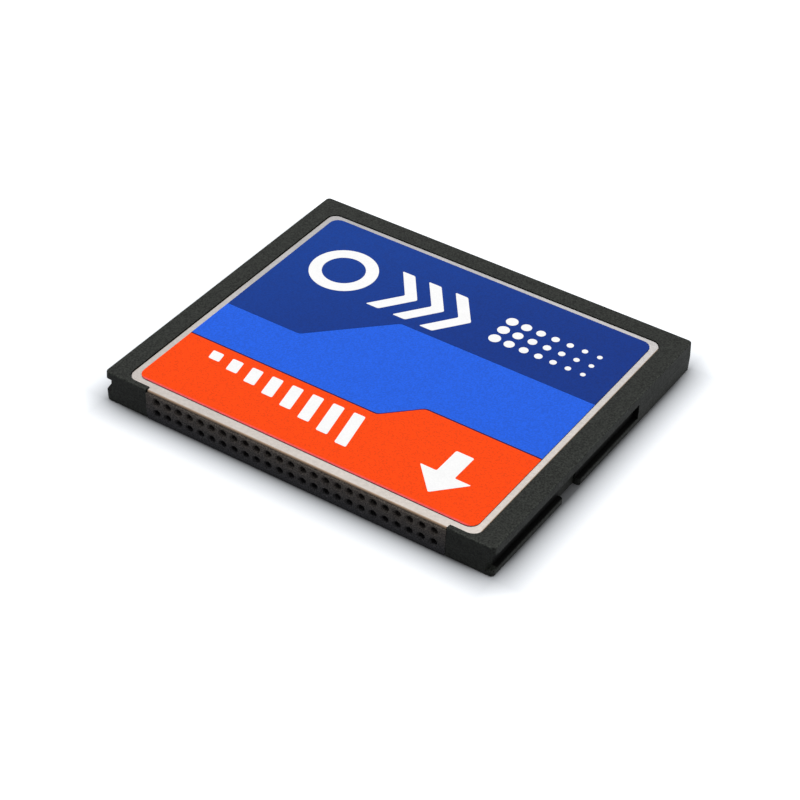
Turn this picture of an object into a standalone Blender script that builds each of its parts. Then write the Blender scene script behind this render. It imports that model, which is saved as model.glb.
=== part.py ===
"""Compact flash card, Type I: a keyed moulded frame, two folded steel covers, a 50-way socket connector
with stamped fork contacts, a circuit board with its chips, and the coloured print fields of the top cover.

Metres, +Z up. X runs along the connector edge, the connector faces -Y, and the origin is the bottom centre.
"""

import math

import bmesh
import bpy

MM = 0.001

# Outer size of the card. Its width follows from the connector and the corner blocks beside it.
CARD_LENGTH = 36.40 * MM
CARD_THICKNESS = 3.30 * MM
FRONT_BLOCK_WIDTH = 4.90 * MM
FRONT_BLOCK_DEPTH = 1.60 * MM
PLAN_CORNER_RADIUS = 0.50 * MM
OUTER_EDGE_RADIUS = 0.12 * MM
SMALLEST_RADIUS = 0.05 * MM
WALL_DRAFT = 0.06 * MM

# Clearances: pieces that seat on each other, the reveal around a cover, and what slides in a pocket
FIT_GAP = 0.03 * MM
COVER_REVEAL = 0.05 * MM
POCKET_GAP = 0.05 * MM
BOARD_SIDE_GAP = 0.15 * MM
CUT_MARGIN = 0.50 * MM

# Guide slots, between the upper flange and the lower one, and the notches in the lower flange
UPPER_FLANGE = 0.99 * MM
WIDE_SIDE_LOWER_FLANGE = 0.71 * MM
NARROW_SIDE_LOWER_FLANGE = 1.30 * MM
SLOT_DEPTH = 0.57 * MM
SLOT_LENGTH = 25.78 * MM
SLOT_LIP_CHAMFER = 0.09 * MM
SLOT_MOUTH_FLARE = 0.26 * MM
SLOT_MOUTH_LENGTH = 0.90 * MM
NOTCH_START = 12.00 * MM
NOTCH_WIDTH = 3.00 * MM
NOTCH_DEPTH = 0.76 * MM
NOTCH_EDGE_RADIUS = 0.35 * MM

# Walls of the moulded frame
SIDE_RAIL_WIDTH = 3.10 * MM
BACK_RAIL_WIDTH = 2.90 * MM
INNER_CORNER_RADIUS = 0.60 * MM

# Steel covers. A seat is how far a cover reaches over a rail.
COVER_THICKNESS = 0.20 * MM
COVER_SIDE_SEAT = 0.90 * MM
COVER_BACK_SEAT = 0.70 * MM
COVER_FRONT_MARGIN = 0.66 * MM
COVER_LIP_REACH = 0.50 * MM
COVER_CORNER_RADIUS = 1.00 * MM
COVER_STEP_RADIUS = 0.15 * MM
COVER_ROLLED_EDGE = 0.07 * MM
TAB_LENGTH = 3.20 * MM
TAB_DROP = 0.75 * MM
TAB_SETBACK = 0.02 * MM
TAB_ROOT = 0.06 * MM
TAB_END_DISTANCE = 6.50 * MM
TABS_PER_SIDE = 3

# Print fields. A depth is measured back from the field in front.
PRINT_THICKNESS = 0.04 * MM
PRINT_SIDE_BORDER = 0.70 * MM
PRINT_BACK_BORDER = 0.60 * MM
PRINT_FRONT_BORDER = 0.66 * MM
PRINT_CORNER_RADIUS = 1.00 * MM
BAND_LOW_DEPTH = 8.20 * MM
BAND_HIGH_DEPTH = 11.40 * MM
BAND_RAMP_X = 4.50 * MM
STRIPE_LOW_DEPTH = 5.80 * MM
STRIPE_HIGH_DEPTH = 9.60 * MM
STRIPE_RAMP_X = -6.50 * MM
RAMP_RADIUS = 0.80 * MM

# Socket connector
PIN_PITCH = 1.27 * MM
ROW_SPACING = 1.27 * MM
PINS_PER_ROW = 25
CONNECTOR_END_MARGIN = 1.26 * MM
HOUSING_DEPTH = 5.20 * MM
HOUSING_EDGE_CHAMFER = 0.10 * MM
SKIRT_SETBACK = 0.02 * MM
SKIRT_CLEARANCE = 0.03 * MM
SKIRT_ROOT = 0.15 * MM
HOLE_DIAMETER = 0.70 * MM
HOLE_DEPTH = 0.75 * MM
HOLE_SIDES = 12
LEAD_IN_WIDTH = 0.14 * MM
LEAD_IN_DEPTH = 0.16 * MM
ARM_WIDTH = 1.20 * MM
ARM_LENGTH = 2.00 * MM

# Fork contact. Its lengths are measured inward from its tip, and its heights across the row's axis.
CONTACT_SHEET = 0.25 * MM
CONTACT_HEIGHT = 0.86 * MM
FORK_TIP_GAP = 0.23 * MM
FORK_TIP_HEIGHT = 0.66 * MM
FORK_GRIP_LENGTH = 0.47 * MM
FORK_GRIP_GAP = 0.34 * MM
FORK_THROAT = 0.50 * MM
FORK_TAPER_LENGTH = 1.92 * MM
FORK_LENGTH = 2.52 * MM
BLADE_SETBACK = 0.45 * MM
TAIL_THICKNESS = 0.15 * MM
TAIL_RISE = 0.14 * MM
TAIL_BEND_GAP = 0.15 * MM
TAIL_BEND_LENGTH = 0.30 * MM
TAIL_ON_BOARD = 1.70 * MM

# Circuit board, its ledges and locating pegs
BOARD_THICKNESS = 0.60 * MM
BOARD_FRONT_GAP = 0.20 * MM
BOARD_CORNER_RADIUS = 0.50 * MM
LEDGE_WIDTH = 1.00 * MM
LEDGE_LENGTH = 3.00 * MM
LEDGE_DEPTH = 0.80 * MM
LEDGE_ROOT = 0.30 * MM
LEDGES_PER_SIDE = 2
PEG_PAD = 2.40 * MM
PEG_DIAMETER = 1.00 * MM
PEG_RISE = 0.50 * MM
ROUND_SIDES = 12

# Chips
CHIP_HEADROOM = 0.07 * MM
CHIP_STANDOFF = 0.05 * MM
CHIP_DRAFT = 0.08 * MM
DIMPLE_DIAMETER = 0.90 * MM
DIMPLE_INSET = 1.10 * MM
DIMPLE_DEPTH = 0.06 * MM
LEAD_WIDTH = 0.22 * MM
LEAD_SHEET = 0.12 * MM
LEAD_END_MARGIN = 0.25 * MM
LEAD_REACH = 0.80 * MM
MEMORY_LENGTH = 18.40 * MM
MEMORY_WIDTH = 12.00 * MM
MEMORY_LEADS = 24
MEMORY_SIDE_MARGIN = 1.95 * MM
MEMORY_BACK_MARGIN = 1.30 * MM
CONTROLLER_SIDE = 10.00 * MM
CONTROLLER_SIDE_MARGIN = 2.05 * MM
CONTROLLER_FRONT_GAP = 0.40 * MM
CONTROLLER_LAMINATE = 0.28 * MM
CONTROLLER_RIM = 0.35 * MM
CONTROLLER_KEY_CUT = 0.90 * MM

# Small soldered parts in two rows between the contact tails and the memory chip, as length, width and height
REGULATOR_SIZE = (3.20 * MM, 2.50 * MM, 0.70 * MM)
REGULATOR_OFFSET = -5.00 * MM
CAPACITOR_SIZE = (1.60 * MM, 0.80 * MM, 0.70 * MM)
CAPACITOR_OFFSETS = (0.00 * MM, 3.00 * MM, 6.00 * MM, 9.00 * MM)
RESISTOR_SIZE = (1.00 * MM, 0.50 * MM, 0.45 * MM)
RESISTOR_OFFSETS = (-6.00 * MM, -3.50 * MM, 3.50 * MM, 6.00 * MM)
FRONT_ROW_GAP = 0.90 * MM
BACK_ROW_GAP = 0.90 * MM

# Levels and places that follow from the sizes above
CONNECTOR_OPENING = PIN_PITCH * (PINS_PER_ROW - 1) + 2 * CONNECTOR_END_MARGIN
CARD_WIDTH = CONNECTOR_OPENING + 2 * FRONT_BLOCK_WIDTH
HALF_WIDTH = CARD_WIDTH / 2
FRONT_Y = -CARD_LENGTH / 2
BACK_Y = CARD_LENGTH / 2
MID_Z = CARD_THICKNESS / 2
RAIL_INNER_X = HALF_WIDTH - SIDE_RAIL_WIDTH
BACK_INNER_Y = BACK_Y - BACK_RAIL_WIDTH
BLOCK_BACK_Y = FRONT_Y + FRONT_BLOCK_DEPTH
COVER_RECESS = PRINT_THICKNESS + FIT_GAP
COVER_SEAT_DEPTH = COVER_RECESS + COVER_THICKNESS + FIT_GAP
COVER_HALF_WIDTH = RAIL_INNER_X + COVER_SIDE_SEAT
COVER_BACK_Y = BACK_INNER_Y + COVER_BACK_SEAT
COVER_FRONT_Y = FRONT_Y + COVER_FRONT_MARGIN
HOUSING_HALF_HEIGHT = MID_Z - COVER_SEAT_DEPTH
HOUSING_BACK_Y = FRONT_Y + HOUSING_DEPTH
ARM_END_Y = HOUSING_BACK_Y + ARM_LENGTH
BOARD_HALF_WIDTH = RAIL_INNER_X - BOARD_SIDE_GAP
BOARD_FRONT_Y = HOUSING_BACK_Y + BOARD_FRONT_GAP
BOARD_BACK_Y = BACK_INNER_Y - BOARD_SIDE_GAP
BOARD_TOP = MID_Z + BOARD_THICKNESS / 2
LEDGE_TOP = MID_Z - BOARD_THICKNESS / 2 - FIT_GAP
TAIL_END_Y = BOARD_FRONT_Y + TAIL_ON_BOARD
PEG_X = RAIL_INNER_X - PEG_PAD / 2
PEG_Y = BACK_INNER_Y - PEG_PAD / 2
CHIP_SEAT = BOARD_TOP + FIT_GAP
CHIP_TOP = CARD_THICKNESS - COVER_RECESS - COVER_THICKNESS - CHIP_HEADROOM
MEMORY_X = BOARD_HALF_WIDTH - MEMORY_SIDE_MARGIN - LEAD_REACH - MEMORY_LENGTH / 2
MEMORY_Y = BOARD_BACK_Y - MEMORY_BACK_MARGIN - MEMORY_WIDTH / 2
CONTROLLER_X = -BOARD_HALF_WIDTH + CONTROLLER_SIDE_MARGIN + CONTROLLER_SIDE / 2
CONTROLLER_Y = TAIL_END_Y + CONTROLLER_FRONT_GAP + CONTROLLER_SIDE / 2
FACET_ANGLE = math.radians(30)


def clear_scene():
    for old in list(bpy.data.objects):
        bpy.data.objects.remove(old, do_unlink=True)


def linear(level):
    """One 0 to 255 screen level as a linear colour value."""
    share = level / 255
    return share / 12.92 if share <= 0.04045 else ((share + 0.055) / 1.055) ** 2.4


def make_material(name, colour, roughness, metallic=0.0):
    material = bpy.data.materials.new(name)
    material.use_nodes = True
    shader = material.node_tree.nodes["Principled BSDF"]
    shader.inputs["Base Color"].default_value = (*[linear(level) for level in colour], 1.0)
    shader.inputs["Roughness"].default_value = roughness
    shader.inputs["Metallic"].default_value = metallic
    return material


def to_mesh(name, bm):
    """Finishes a bmesh as closed, outward-facing and smooth over its round stretches."""
    bmesh.ops.recalc_face_normals(bm, faces=bm.faces)
    mesh = bpy.data.meshes.new(name)
    bm.to_mesh(mesh)
    bm.free()
    mesh.shade_smooth()
    mesh.set_sharp_from_angle(angle=FACET_ANGLE)
    return mesh


def add_node(name, mesh, material):
    node = bpy.data.objects.new(name, mesh)
    if not mesh.materials:
        mesh.materials.append(material)
    bpy.context.scene.collection.objects.link(node)
    return node


def add_tool(target, name, bm, operation="DIFFERENCE"):
    """Cuts a shape from a node or joins it on. The shape itself stays a hidden guide."""
    tool = bpy.data.objects.new(name, to_mesh(name, bm))
    bpy.context.scene.collection.objects.link(tool)
    tool.hide_render = True
    tool.display_type = "WIRE"
    tool.parent = target
    modifier = target.modifiers.new(name, "BOOLEAN")
    modifier.operation = operation
    modifier.solver = "EXACT"
    modifier.object = tool
    return tool


def loft(bm, rings):
    """Joins rings of equal length into one closed body with flat ends."""
    loops = [[bm.verts.new(point) for point in ring] for ring in rings]
    count = len(loops[0])
    for lower, upper in zip(loops, loops[1:]):
        for i in range(count):
            j = (i + 1) % count
            bm.faces.new((lower[i], lower[j], upper[j], upper[i]))
    bm.faces.new(reversed(loops[0]))
    bm.faces.new(loops[-1])
    return bm


def prism(bm, outline, bottom, top):
    return loft(bm, [[(x, y, z) for x, y in outline] for z in (bottom, top)])


def box(bm, low, high):
    outline = [(low[0], low[1]), (high[0], low[1]), (high[0], high[1]), (low[0], high[1])]
    return prism(bm, outline, low[2], high[2])


def circle(centre, radius, sides):
    return [
        (
            centre[0] + radius * math.cos(math.tau * (i + 0.5) / sides),
            centre[1] + radius * math.sin(math.tau * (i + 0.5) / sides),
        )
        for i in range(sides)
    ]


def fillet(corners, segments=5):
    """Rounds each (x, y, radius) corner of an outline by an arc. A radius of 0 keeps the corner."""
    points = []
    count = len(corners)
    for i, (x, y, radius) in enumerate(corners):
        if radius <= 0:
            points.append((x, y))
            continue
        before, after = corners[i - 1], corners[(i + 1) % count]
        into = (before[0] - x, before[1] - y)
        out = (after[0] - x, after[1] - y)
        into_length, out_length = math.hypot(*into), math.hypot(*out)
        into = (into[0] / into_length, into[1] / into_length)
        out = (out[0] / out_length, out[1] / out_length)
        half = math.acos(max(-1.0, min(1.0, into[0] * out[0] + into[1] * out[1]))) / 2
        reach = radius / math.tan(half)
        middle = (into[0] + out[0], into[1] + out[1])
        scale = radius / math.sin(half) / math.hypot(*middle)
        centre = (x + middle[0] * scale, y + middle[1] * scale)
        first = math.atan2(y + into[1] * reach - centre[1], x + into[0] * reach - centre[0])
        last = math.atan2(y + out[1] * reach - centre[1], x + out[0] * reach - centre[0])
        turn = (last - first + math.pi) % math.tau - math.pi
        for k in range(segments + 1):
            angle = first + turn * k / segments
            points.append((centre[0] + radius * math.cos(angle), centre[1] + radius * math.sin(angle)))
    return points


def rounded_rectangle(x0, y0, x1, y1, radius, segments=5):
    return fillet([(x0, y0, radius), (x1, y0, radius), (x1, y1, radius), (x0, y1, radius)], segments)


def at_height(outline, z):
    return [(x, y, z) for x, y in outline]


def edge_profile(half_height, radius, draft, steps=3):
    """Heights above the middle and insets of a wall with drafted faces and round edges."""
    rows = [(0.0, 0.0)]
    for k in range(steps + 1):
        angle = math.radians(90) * k / steps
        height = half_height - radius * (1 - math.sin(angle))
        rows.append((height, draft + radius * (1 - math.cos(angle))))
    return [(-height, inset) for height, inset in reversed(rows[1:])] + rows


def cover_outline(inset, has_lip):
    """Plan of a cover: a rounded plate. The top one has a front lip that steps forward over the connector."""
    side = COVER_HALF_WIDTH - inset
    back = COVER_BACK_Y - inset
    front = COVER_FRONT_Y + inset
    if not has_lip:
        return rounded_rectangle(-side, front, side, back, COVER_CORNER_RADIUS - inset)
    lip_side = CONNECTOR_OPENING / 2 - COVER_REVEAL - inset
    lip = front - COVER_LIP_REACH
    outer = COVER_CORNER_RADIUS - inset
    step = min(COVER_STEP_RADIUS, COVER_LIP_REACH / 2 - COVER_ROLLED_EDGE)
    return fillet(
        [
            (side, back, outer),
            (-side, back, outer),
            (-side, front, outer),
            (-lip_side, front, step + inset),
            (-lip_side, lip, step),
            (lip_side, lip, step),
            (lip_side, front, step + inset),
            (side, front, outer),
        ]
    )


def tab_middles():
    """Places of the covers' folded tabs along each side rail."""
    first = COVER_FRONT_Y + TAB_END_DISTANCE
    last = COVER_BACK_Y - TAB_END_DISTANCE
    return [first + (last - first) * i / (TABS_PER_SIDE - 1) for i in range(TABS_PER_SIDE)]


def build_frame(material):
    """C-shaped moulding: drafted outer walls, keyed guide slots, seats for both covers, board ledges."""
    bm = bmesh.new()
    rings = []
    for height, inset in edge_profile(MID_Z, OUTER_EDGE_RADIUS, WALL_DRAFT):
        side = HALF_WIDTH - inset
        corner = max(PLAN_CORNER_RADIUS - inset, SMALLEST_RADIUS)
        outline = rounded_rectangle(-side, FRONT_Y + inset, side, BACK_Y - inset, corner)
        rings.append(at_height(outline, MID_Z + height))
    frame = add_node("frame", to_mesh("frame", loft(bm, rings)), material)

    cut_cavity(frame)
    for side in (-1, 1):
        cut_guide_slot(frame, side)
    add_board_ledges(frame)
    return frame


def cut_cavity(frame):
    """The window through the frame, its open front, and a seat and tab pockets for each cover."""
    bm = bmesh.new()
    block_y = BLOCK_BACK_Y
    opening = CONNECTOR_OPENING / 2
    front = FRONT_Y - CUT_MARGIN
    outline = fillet(
        [
            (RAIL_INNER_X, BACK_INNER_Y, INNER_CORNER_RADIUS),
            (-RAIL_INNER_X, BACK_INNER_Y, INNER_CORNER_RADIUS),
            (-RAIL_INNER_X, block_y, 0),
            (-opening, block_y, 0),
            (-opening, front, 0),
            (opening, front, 0),
            (opening, block_y, 0),
            (RAIL_INNER_X, block_y, 0),
        ]
    )
    prism(bm, outline, -CUT_MARGIN, CARD_THICKNESS + CUT_MARGIN)
    add_tool(frame, "frame_window", bm)

    side = COVER_HALF_WIDTH + COVER_REVEAL
    seat_front, seat_back = COVER_FRONT_Y - COVER_REVEAL, COVER_BACK_Y + COVER_REVEAL
    seat = rounded_rectangle(-side, seat_front, side, seat_back, COVER_CORNER_RADIUS + COVER_REVEAL)
    levels = {
        "upper": (CARD_THICKNESS - COVER_SEAT_DEPTH, CARD_THICKNESS + CUT_MARGIN),
        "lower": (-CUT_MARGIN, COVER_SEAT_DEPTH),
    }
    for name, (bottom, top) in levels.items():
        add_tool(frame, f"{name}_cover_seat", prism(bmesh.new(), seat, bottom, top))

    bm = bmesh.new()
    pocket_outer = COVER_HALF_WIDTH - TAB_SETBACK + POCKET_GAP
    pocket_inner = COVER_HALF_WIDTH - TAB_SETBACK - COVER_THICKNESS - POCKET_GAP
    half_length = TAB_LENGTH / 2 + POCKET_GAP
    drop = COVER_SEAT_DEPTH + TAB_DROP + POCKET_GAP
    overrun = COVER_SEAT_DEPTH / 2
    for side in (-1, 1):
        low_x, high_x = sorted((side * pocket_inner, side * pocket_outer))
        for y in tab_middles():
            for bottom, top in ((CARD_THICKNESS - drop, CARD_THICKNESS - overrun), (overrun, drop)):
                box(bm, (low_x, y - half_length, bottom), (high_x, y + half_length, top))
    add_tool(frame, "tab_pockets", bm)


def slot_levels(side):
    """Bottom and top of the guide slot on the -X (narrow) or +X (wide) side."""
    lower_flange = WIDE_SIDE_LOWER_FLANGE if side > 0 else NARROW_SIDE_LOWER_FLANGE
    return lower_flange, CARD_THICKNESS - UPPER_FLANGE


def cut_guide_slot(frame, side):
    """One guide slot with chamfered lips and a flared mouth, and the notch through the flange under it."""
    low, high = slot_levels(side)
    floor = HALF_WIDTH - SLOT_DEPTH
    lip = HALF_WIDTH - SLOT_LIP_CHAMFER
    outside = HALF_WIDTH + CUT_MARGIN
    spread = SLOT_LIP_CHAMFER + CUT_MARGIN

    def section(y, flare):
        profile = [
            (floor - flare, low - flare),
            (lip, low - flare),
            (outside, low - flare - spread),
            (outside, high + flare + spread),
            (lip, high + flare),
            (floor - flare, high + flare),
        ]
        return [(side * x, y, z) for x, z in profile]

    overshoot = SLOT_MOUTH_FLARE * CUT_MARGIN / SLOT_MOUTH_LENGTH
    bm = bmesh.new()
    sections = [
        section(FRONT_Y - CUT_MARGIN, SLOT_MOUTH_FLARE + overshoot),
        section(FRONT_Y + SLOT_MOUTH_LENGTH, 0.0),
        section(FRONT_Y + SLOT_LENGTH, 0.0),
    ]
    add_tool(frame, "wide_slot" if side > 0 else "narrow_slot", loft(bm, sections))

    inner = HALF_WIDTH - NOTCH_DEPTH
    start = FRONT_Y + NOTCH_START
    end = start + NOTCH_WIDTH
    rim = HALF_WIDTH
    radius = NOTCH_EDGE_RADIUS
    outline = fillet(
        [
            (side * inner, start, 0),
            (side * rim, start, radius),
            (side * rim, start - CUT_MARGIN, 0),
            (side * outside, start - CUT_MARGIN, 0),
            (side * outside, end + CUT_MARGIN, 0),
            (side * rim, end + CUT_MARGIN, 0),
            (side * rim, end, radius),
            (side * inner, end, 0),
        ],
        segments=4,
    )
    bm = prism(bmesh.new(), outline, -CUT_MARGIN, (low + high) / 2)
    add_tool(frame, "wide_side_notch" if side > 0 else "narrow_side_notch", bm)


def add_board_ledges(frame):
    """Ledges under the circuit board along the rails, and pads with a locating peg in the back corners."""
    bottom = LEDGE_TOP - LEDGE_DEPTH
    root = RAIL_INNER_X + LEDGE_ROOT
    pad_front = BACK_INNER_Y - PEG_PAD
    spacing = (pad_front - ARM_END_Y) / (LEDGES_PER_SIDE + 1)
    bm = bmesh.new()
    for side in (-1, 1):
        low_x, high_x = sorted((side * (RAIL_INNER_X - LEDGE_WIDTH), side * root))
        for i in range(LEDGES_PER_SIDE):
            y = ARM_END_Y + spacing * (i + 1)
            box(bm, (low_x, y - LEDGE_LENGTH / 2, bottom), (high_x, y + LEDGE_LENGTH / 2, LEDGE_TOP))
        low_x, high_x = sorted((side * (RAIL_INNER_X - PEG_PAD), side * root))
        box(bm, (low_x, pad_front, bottom), (high_x, BACK_INNER_Y + LEDGE_ROOT, LEDGE_TOP))
    add_tool(frame, "board_ledges", bm, "UNION")

    bm = bmesh.new()
    for side in (-1, 1):
        peg = circle((side * PEG_X, PEG_Y), PEG_DIAMETER / 2, ROUND_SIDES)
        prism(bm, peg, LEDGE_TOP - LEDGE_DEPTH / 2, LEDGE_TOP + PEG_RISE)
    add_tool(frame, "board_pegs", bm, "UNION")


def build_cover(name, material, facing):
    """Folded steel cover. Facing is 1 for the top cover and -1 for the bottom one."""
    outer = MID_Z - COVER_RECESS
    rows = [(outer - COVER_THICKNESS, 0.0)]
    for angle in [math.radians(45 * k) for k in range(3)]:
        height = outer - COVER_ROLLED_EDGE * (1 - math.sin(angle))
        rows.append((height, COVER_ROLLED_EDGE * (1 - math.cos(angle))))
    rings = [at_height(cover_outline(inset, facing > 0), MID_Z + facing * height) for height, inset in rows]
    cover = add_node(name, to_mesh(name, loft(bmesh.new(), rings)), material)

    bm = bmesh.new()
    inner_face = outer - COVER_THICKNESS
    heights = sorted((MID_Z + facing * (inner_face - TAB_DROP), MID_Z + facing * (inner_face + TAB_ROOT)))
    tab_outer = COVER_HALF_WIDTH - TAB_SETBACK
    for side in (-1, 1):
        low_x, high_x = sorted((side * (tab_outer - COVER_THICKNESS), side * tab_outer))
        for y in tab_middles():
            box(bm, (low_x, y - TAB_LENGTH / 2, heights[0]), (high_x, y + TAB_LENGTH / 2, heights[1]))
    add_tool(cover, f"{name}_tabs", bm, "UNION")
    return cover


def build_prints(materials):
    """Three print fields on the top cover: a stepped band, a stepped stripe beside it, and the ground."""
    side = COVER_HALF_WIDTH - PRINT_SIDE_BORDER
    back = COVER_BACK_Y - PRINT_BACK_BORDER
    front = COVER_FRONT_Y + PRINT_FRONT_BORDER
    corner = PRINT_CORNER_RADIUS
    half_gap = FIT_GAP / 2
    top = CARD_THICKNESS
    bottom = top - PRINT_THICKNESS

    def step_line(low, high, ramp_x, offset):
        """A line from -X to +X that rises by a 45 degree ramp, moved sideways by an offset."""
        run = high - low
        lean = offset * math.tan(math.radians(22.5))
        return [
            (ramp_x - run / 2 - lean, low + offset, RAMP_RADIUS),
            (ramp_x + run / 2 - lean, high + offset, RAMP_RADIUS),
        ]

    def ends(line):
        return [(-side, line[0][1], 0)], [(side, line[-1][1], 0)]

    band_low = front + BAND_LOW_DEPTH
    band_high = front + BAND_HIGH_DEPTH
    stripe_low = band_low + STRIPE_LOW_DEPTH
    stripe_high = band_high + STRIPE_HIGH_DEPTH

    def field(name, outline, material):
        add_node(name, to_mesh(name, prism(bmesh.new(), fillet(outline), bottom, top)), material)

    line = step_line(band_low, band_high, BAND_RAMP_X, -half_gap)
    left, right = ends(line)
    field(
        "print_orange_field",
        [(-side, front, corner), (side, front, corner)] + right + line[::-1] + left,
        materials["orange"],
    )

    lower = step_line(band_low, band_high, BAND_RAMP_X, half_gap)
    upper = step_line(stripe_low, stripe_high, STRIPE_RAMP_X, -half_gap)
    low_left, low_right = ends(lower)
    high_left, high_right = ends(upper)
    field(
        "print_bright_blue_field",
        low_left + lower + low_right + high_right + upper[::-1] + high_left,
        materials["bright_blue"],
    )

    line = step_line(stripe_low, stripe_high, STRIPE_RAMP_X, half_gap)
    left, right = ends(line)
    field(
        "print_dark_blue_field",
        left + line + right + [(side, back, corner), (-side, back, corner)],
        materials["dark_blue"],
    )


def pin_columns():
    first = -PIN_PITCH * (PINS_PER_ROW - 1) / 2
    return [first + PIN_PITCH * i for i in range(PINS_PER_ROW)]


def build_housing(material):
    """Socket housing: two rows of lead-in holes, a contact cavity behind each, shoulders, arms and a skirt."""
    front_side = CONNECTOR_OPENING / 2 - FIT_GAP
    rear_side = RAIL_INNER_X - FIT_GAP
    shoulder_y = BLOCK_BACK_Y + FIT_GAP
    chamfer = HOUSING_EDGE_CHAMFER

    def outline(inset):
        return [
            (-front_side + inset, FRONT_Y + inset),
            (front_side - inset, FRONT_Y + inset),
            (front_side - inset, shoulder_y + inset),
            (rear_side - inset, shoulder_y + inset),
            (rear_side - inset, HOUSING_BACK_Y - inset),
            (-rear_side + inset, HOUSING_BACK_Y - inset),
            (-rear_side + inset, shoulder_y + inset),
            (-front_side + inset, shoulder_y + inset),
        ]

    half = HOUSING_HALF_HEIGHT
    rows = [(-half, chamfer), (-half + chamfer, 0.0), (half - chamfer, 0.0), (half, chamfer)]
    rings = [at_height(outline(inset), MID_Z + height) for height, inset in rows]
    housing = add_node("connector_housing", to_mesh("connector_housing", loft(bmesh.new(), rings)), material)

    cavity_x = CONTACT_SHEET / 2 + POCKET_GAP
    cavity_z = CONTACT_HEIGHT / 2 + FIT_GAP
    cavities, holes = bmesh.new(), bmesh.new()
    stations = [
        (-LEAD_IN_DEPTH / 2, HOLE_DIAMETER / 2 + LEAD_IN_WIDTH * 1.5),
        (LEAD_IN_DEPTH, HOLE_DIAMETER / 2),
        (HOLE_DEPTH + POCKET_GAP, HOLE_DIAMETER / 2),
    ]
    for row in (-1, 1):
        axis_z = MID_Z + row * ROW_SPACING / 2
        for x in pin_columns():
            box(
                cavities,
                (x - cavity_x, FRONT_Y + HOLE_DEPTH, axis_z - cavity_z),
                (x + cavity_x, HOUSING_BACK_Y + CUT_MARGIN, axis_z + cavity_z),
            )
            rings = [
                [(px, FRONT_Y + depth, pz) for px, pz in circle((x, axis_z), radius, HOLE_SIDES)]
                for depth, radius in stations
            ]
            loft(holes, rings)
    add_tool(housing, "contact_cavities", cavities)
    add_tool(housing, "lead_in_holes", holes)

    bm = bmesh.new()
    arm_outer = rear_side - chamfer
    for side in (-1, 1):
        low_x, high_x = sorted((side * (arm_outer - ARM_WIDTH), side * arm_outer))
        box(
            bm,
            (low_x, HOUSING_BACK_Y - CUT_MARGIN, MID_Z - half + chamfer),
            (high_x, ARM_END_Y, LEDGE_TOP),
        )
    add_tool(housing, "board_arms", bm, "UNION")

    bm = bmesh.new()
    skirt_side = front_side - chamfer
    box(
        bm,
        (-skirt_side, FRONT_Y + SKIRT_SETBACK, SKIRT_CLEARANCE),
        (skirt_side, COVER_FRONT_Y - COVER_REVEAL, MID_Z - half + SKIRT_ROOT),
    )
    add_tool(housing, "front_skirt", bm, "UNION")
    return housing


def contact_profile():
    """Side outline of a fork contact: (depth from the connector face, height above the row's axis)."""
    half = CONTACT_HEIGHT / 2
    throat = FORK_THROAT / 2
    grip = FORK_GRIP_GAP / 2
    tip = FORK_TIP_HEIGHT / 2
    tip_inner = (tip + grip) / 2
    tip_depth = HOLE_DEPTH + FORK_TIP_GAP
    grip_depth = tip_depth + FORK_GRIP_LENGTH
    taper_end = tip_depth + FORK_TAPER_LENGTH
    root_depth = tip_depth + FORK_LENGTH
    blade_end = HOUSING_DEPTH - BLADE_SETBACK
    bend_start = HOUSING_DEPTH + TAIL_BEND_GAP
    bend_end = bend_start + TAIL_BEND_LENGTH
    tail_end = TAIL_END_Y - FRONT_Y
    tail_low = BOARD_THICKNESS / 2 + FIT_GAP - ROW_SPACING / 2
    tail_high = tail_low + TAIL_THICKNESS
    root_curve = [
        (root_depth - throat * (1 - math.sin(angle)), throat * math.cos(angle))
        for angle in [math.radians(60 * k) for k in range(4)]
    ]
    return (
        [(tip_depth, tip), (tip_depth, tip_inner), (grip_depth, grip), (grip_depth + grip, throat)]
        + root_curve
        + [(grip_depth + grip, -throat), (grip_depth, -grip), (tip_depth, -tip_inner), (tip_depth, -tip)]
        + [(taper_end, -half), (blade_end, -half), (blade_end, tail_low + TAIL_RISE)]
        + [(bend_start, tail_low + TAIL_RISE), (bend_end, tail_low), (tail_end, tail_low)]
        + [(tail_end, tail_high), (bend_end, tail_high), (bend_start, tail_high + TAIL_RISE)]
        + [(blade_end, tail_high + TAIL_RISE), (blade_end, half), (taper_end, half)]
    )


def build_contacts(material):
    """Fifty stamped fork contacts. The upper row's tails lie on the board, the lower row's under it."""
    profile = contact_profile()
    for row, facing in (("upper", 1), ("lower", -1)):
        rings = [
            [(x, depth, facing * height) for depth, height in profile]
            for x in (-CONTACT_SHEET / 2, CONTACT_SHEET / 2)
        ]
        mesh = to_mesh(f"{row}_contact", loft(bmesh.new(), rings))
        for number, x in enumerate(pin_columns(), start=1):
            contact = add_node(f"contact_{row}_{number:02d}", mesh, material)
            contact.location = (x, FRONT_Y, MID_Z + facing * ROW_SPACING / 2)


def soldered_parts():
    """The middle and size of each small part soldered to the board's upper side."""
    front_y = TAIL_END_Y + FRONT_ROW_GAP
    back_y = MEMORY_Y - MEMORY_WIDTH / 2 - BACK_ROW_GAP
    parts = [(MEMORY_X + REGULATOR_OFFSET, front_y + REGULATOR_SIZE[1] / 2, REGULATOR_SIZE)]
    for offset in CAPACITOR_OFFSETS:
        parts.append((MEMORY_X + offset, front_y + CAPACITOR_SIZE[1] / 2, CAPACITOR_SIZE))
    for offset in RESISTOR_OFFSETS:
        parts.append((MEMORY_X + offset, back_y - RESISTOR_SIZE[1] / 2, RESISTOR_SIZE))
    return parts


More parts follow.
